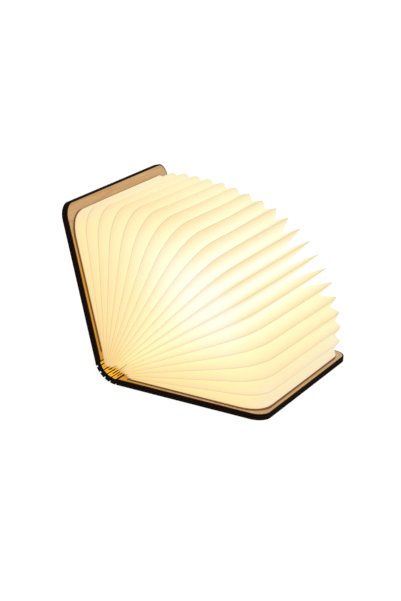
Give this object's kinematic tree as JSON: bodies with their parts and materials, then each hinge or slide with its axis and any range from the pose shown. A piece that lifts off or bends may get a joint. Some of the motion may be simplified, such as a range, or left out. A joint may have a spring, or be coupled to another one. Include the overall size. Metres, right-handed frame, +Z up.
{
  "type": "folding book lamp",
  "caption": "Book-shaped lamp standing open: two wooden covers on a kerf-bent living-hinge spine, a fan of translucent page leaves round a hollow, and a hidden light bar.",
  "frame": {"origin": "centre of the bottom cover's flat panel on its underside, on the surface the lamp stands on", "axes": "+X from the spine to the bottom cover's fore-edge, +Y along the spine from head to tail, +Z up"},
  "size_m": [0.2335, 0.215, 0.1715],
  "materials": {
    "cover_wood": "fine straight grain, satin, laser-charred edges",
    "charred_wood": "laser-charred, matte",
    "liner_board": "dark brown card, matte",
    "page_sheet": "white spun-fibre sheet, matte, translucent",
    "magnet": "nickel-plated",
    "white_plastic": "fine matte",
    "diffuser": "milky translucent",
    "cell_foil": "foil pouch",
    "circuit_board": "green solder mask",
    "led_board_white": "white solder mask",
    "black_plastic": "moulded epoxy",
    "steel": "bright",
    "led_phosphor": "yellow phosphor",
    "flex_film": "amber film"
  },
  "bodies": {
    "bottom_cover": {"bottom_cover": "cover_wood", "bottom_liner": "liner_board", "bottom_endpaper": "page_sheet", "bottom_magnets": "magnet"},
    "web_01": {"spine_web_01": "charred_wood", "page_leaf_01": "page_sheet"},
    "slat_01": {"spine_slat_01": "charred_wood", "page_leaf_02": "page_sheet"},
    "web_02": {"spine_web_02": "charred_wood", "page_leaf_03": "page_sheet"},
    "slat_02": {"spine_slat_02": "charred_wood", "page_leaf_04": "page_sheet"},
    "web_03": {"spine_web_03": "charred_wood", "page_leaf_05": "page_sheet"},
    "slat_03": {"spine_slat_03": "charred_wood", "page_leaf_06": "page_sheet"},
    "web_04": {"spine_web_04": "charred_wood", "page_leaf_07": "page_sheet"},
    "slat_04": {"spine_slat_04": "charred_wood", "page_leaf_08": "page_sheet"},
    "web_05": {"spine_web_05": "charred_wood", "page_leaf_09": "page_sheet"},
    "slat_05": {"spine_slat_05": "charred_wood", "page_leaf_10": "page_sheet", "light_base": "white_plastic", "light_cover": "diffuser", "battery_cell": "cell_foil", "control_board": "circuit_board", "hall_sensor": "black_plastic", "board_screws": "steel", "led_board": "led_board_white", "led_chips": "led_phosphor", "charge_socket": "steel", "socket_housing": "white_plastic", "supply_flex": "flex_film"},
    "web_06": {"spine_web_06": "charred_wood", "page_leaf_11": "page_sheet"},
    "slat_06": {"spine_slat_06": "charred_wood", "page_leaf_12": "page_sheet"},
    "web_07": {"spine_web_07": "charred_wood", "page_leaf_13": "page_sheet"},
    "slat_07": {"spine_slat_07": "charred_wood", "page_leaf_14": "page_sheet"},
    "web_08": {"spine_web_08": "charred_wood", "page_leaf_15": "page_sheet"},
    "slat_08": {"spine_slat_08": "charred_wood", "page_leaf_16": "page_sheet"},
    "web_09": {"spine_web_09": "charred_wood", "page_leaf_17": "page_sheet"},
    "slat_09": {"spine_slat_09": "charred_wood", "page_leaf_18": "page_sheet"},
    "web_10": {"spine_web_10": "charred_wood", "page_leaf_19": "page_sheet"},
    "top_cover": {"top_cover": "cover_wood", "top_liner": "liner_board", "top_endpaper": "page_sheet", "top_magnets": "magnet", "sensor_magnet": "magnet"}
  },
  "joints": [
    {"name": "spine_bend_01", "type": "hinge", "parent": "bottom_cover", "child": "web_01", "pos_m": [-0.08026, 0, 0.003], "axis": [0, -1, 0], "range_deg": [-5.43, 12.57]},
    {"name": "spine_bend_02", "type": "hinge", "parent": "web_01", "child": "slat_01", "pos_m": [-0.08026, 0, 0.003], "axis": [0, -1, 0], "range_deg": [-5.43, 12.57]},
    {"name": "spine_bend_03", "type": "hinge", "parent": "slat_01", "child": "web_02", "pos_m": [-0.08324, 0, 0.00337], "axis": [0, -1, 0], "range_deg": [-5.43, 12.57]},
    {"name": "spine_bend_04", "type": "hinge", "parent": "web_02", "child": "slat_02", "pos_m": [-0.08324, 0, 0.00337], "axis": [0, -1, 0], "range_deg": [-5.43, 12.57]},
    {"name": "spine_bend_05", "type": "hinge", "parent": "slat_02", "child": "web_03", "pos_m": [-0.08616, 0, 0.00412], "axis": [0, -1, 0], "range_deg": [-5.43, 12.57]},
    {"name": "spine_bend_06", "type": "hinge", "parent": "web_03", "child": "slat_03", "pos_m": [-0.08616, 0, 0.00412], "axis": [0, -1, 0], "range_deg": [-5.43, 12.57]},
    {"name": "spine_bend_07", "type": "hinge", "parent": "slat_03", "child": "web_04", "pos_m": [-0.08896, 0, 0.00522], "axis": [0, -1, 0], "range_deg": [-5.43, 12.57]},
    {"name": "spine_bend_08", "type": "hinge", "parent": "web_04", "child": "slat_04", "pos_m": [-0.08896, 0, 0.00522], "axis": [0, -1, 0], "range_deg": [-5.43, 12.57]},
    {"name": "spine_bend_09", "type": "hinge", "parent": "slat_04", "child": "web_05", "pos_m": [-0.0916, 0, 0.00665], "axis": [0, -1, 0], "range_deg": [-5.43, 12.57]},
    {"name": "spine_bend_10", "type": "hinge", "parent": "web_05", "child": "slat_05", "pos_m": [-0.0916, 0, 0.00665], "axis": [0, -1, 0], "range_deg": [-5.43, 12.57]},
    {"name": "spine_bend_11", "type": "hinge", "parent": "slat_05", "child": "web_06", "pos_m": [-0.09405, 0, 0.00841], "axis": [0, -1, 0], "range_deg": [-5.43, 12.57]},
    {"name": "spine_bend_12", "type": "hinge", "parent": "web_06", "child": "slat_06", "pos_m": [-0.09405, 0, 0.00841], "axis": [0, -1, 0], "range_deg": [-5.43, 12.57]},
    {"name": "spine_bend_13", "type": "hinge", "parent": "slat_06", "child": "web_07", "pos_m": [-0.09625, 0, 0.01046], "axis": [0, -1, 0], "range_deg": [-5.43, 12.57]},
    {"name": "spine_bend_14", "type": "hinge", "parent": "web_07", "child": "slat_07", "pos_m": [-0.09625, 0, 0.01046], "axis": [0, -1, 0], "range_deg": [-5.43, 12.57]},
    {"name": "spine_bend_15", "type": "hinge", "parent": "slat_07", "child": "web_08", "pos_m": [-0.09819, 0, 0.01276], "axis": [0, -1, 0], "range_deg": [-5.43, 12.57]},
    {"name": "spine_bend_16", "type": "hinge", "parent": "web_08", "child": "slat_08", "pos_m": [-0.09819, 0, 0.01276], "axis": [0, -1, 0], "range_deg": [-5.43, 12.57]},
    {"name": "spine_bend_17", "type": "hinge", "parent": "slat_08", "child": "web_09", "pos_m": [-0.09982, 0, 0.01529], "axis": [0, -1, 0], "range_deg": [-5.43, 12.57]},
    {"name": "spine_bend_18", "type": "hinge", "parent": "web_09", "child": "slat_09", "pos_m": [-0.09982, 0, 0.01529], "axis": [0, -1, 0], "range_deg": [-5.43, 12.57]},
    {"name": "spine_bend_19", "type": "hinge", "parent": "slat_09", "child": "web_10", "pos_m": [-0.10113, 0, 0.018], "axis": [0, -1, 0], "range_deg": [-5.43, 12.57]},
    {"name": "spine_bend_20", "type": "hinge", "parent": "web_10", "child": "top_cover", "pos_m": [-0.10113, 0, 0.018], "axis": [0, -1, 0], "range_deg": [-5.43, 12.57]}
  ],
  "couplings": [
    {"joint": "spine_bend_02", "follows": "spine_bend_01", "ratio": 1},
    {"joint": "spine_bend_03", "follows": "spine_bend_01", "ratio": 1},
    {"joint": "spine_bend_04", "follows": "spine_bend_01", "ratio": 1},
    {"joint": "spine_bend_05", "follows": "spine_bend_01", "ratio": 1},
    {"joint": "spine_bend_06", "follows": "spine_bend_01", "ratio": 1},
    {"joint": "spine_bend_07", "follows": "spine_bend_01", "ratio": 1},
    {"joint": "spine_bend_08", "follows": "spine_bend_01", "ratio": 1},
    {"joint": "spine_bend_09", "follows": "spine_bend_01", "ratio": 1},
    {"joint": "spine_bend_10", "follows": "spine_bend_01", "ratio": 1},
    {"joint": "spine_bend_11", "follows": "spine_bend_01", "ratio": 1},
    {"joint": "spine_bend_12", "follows": "spine_bend_01", "ratio": 1},
    {"joint": "spine_bend_13", "follows": "spine_bend_01", "ratio": 1},
    {"joint": "spine_bend_14", "follows": "spine_bend_01", "ratio": 1},
    {"joint": "spine_bend_15", "follows": "spine_bend_01", "ratio": 1},
    {"joint": "spine_bend_16", "follows": "spine_bend_01", "ratio": 1},
    {"joint": "spine_bend_17", "follows": "spine_bend_01", "ratio": 1},
    {"joint": "spine_bend_18", "follows": "spine_bend_01", "ratio": 1},
    {"joint": "spine_bend_19", "follows": "spine_bend_01", "ratio": 1},
    {"joint": "spine_bend_20", "follows": "spine_bend_01", "ratio": 1}
  ]
}
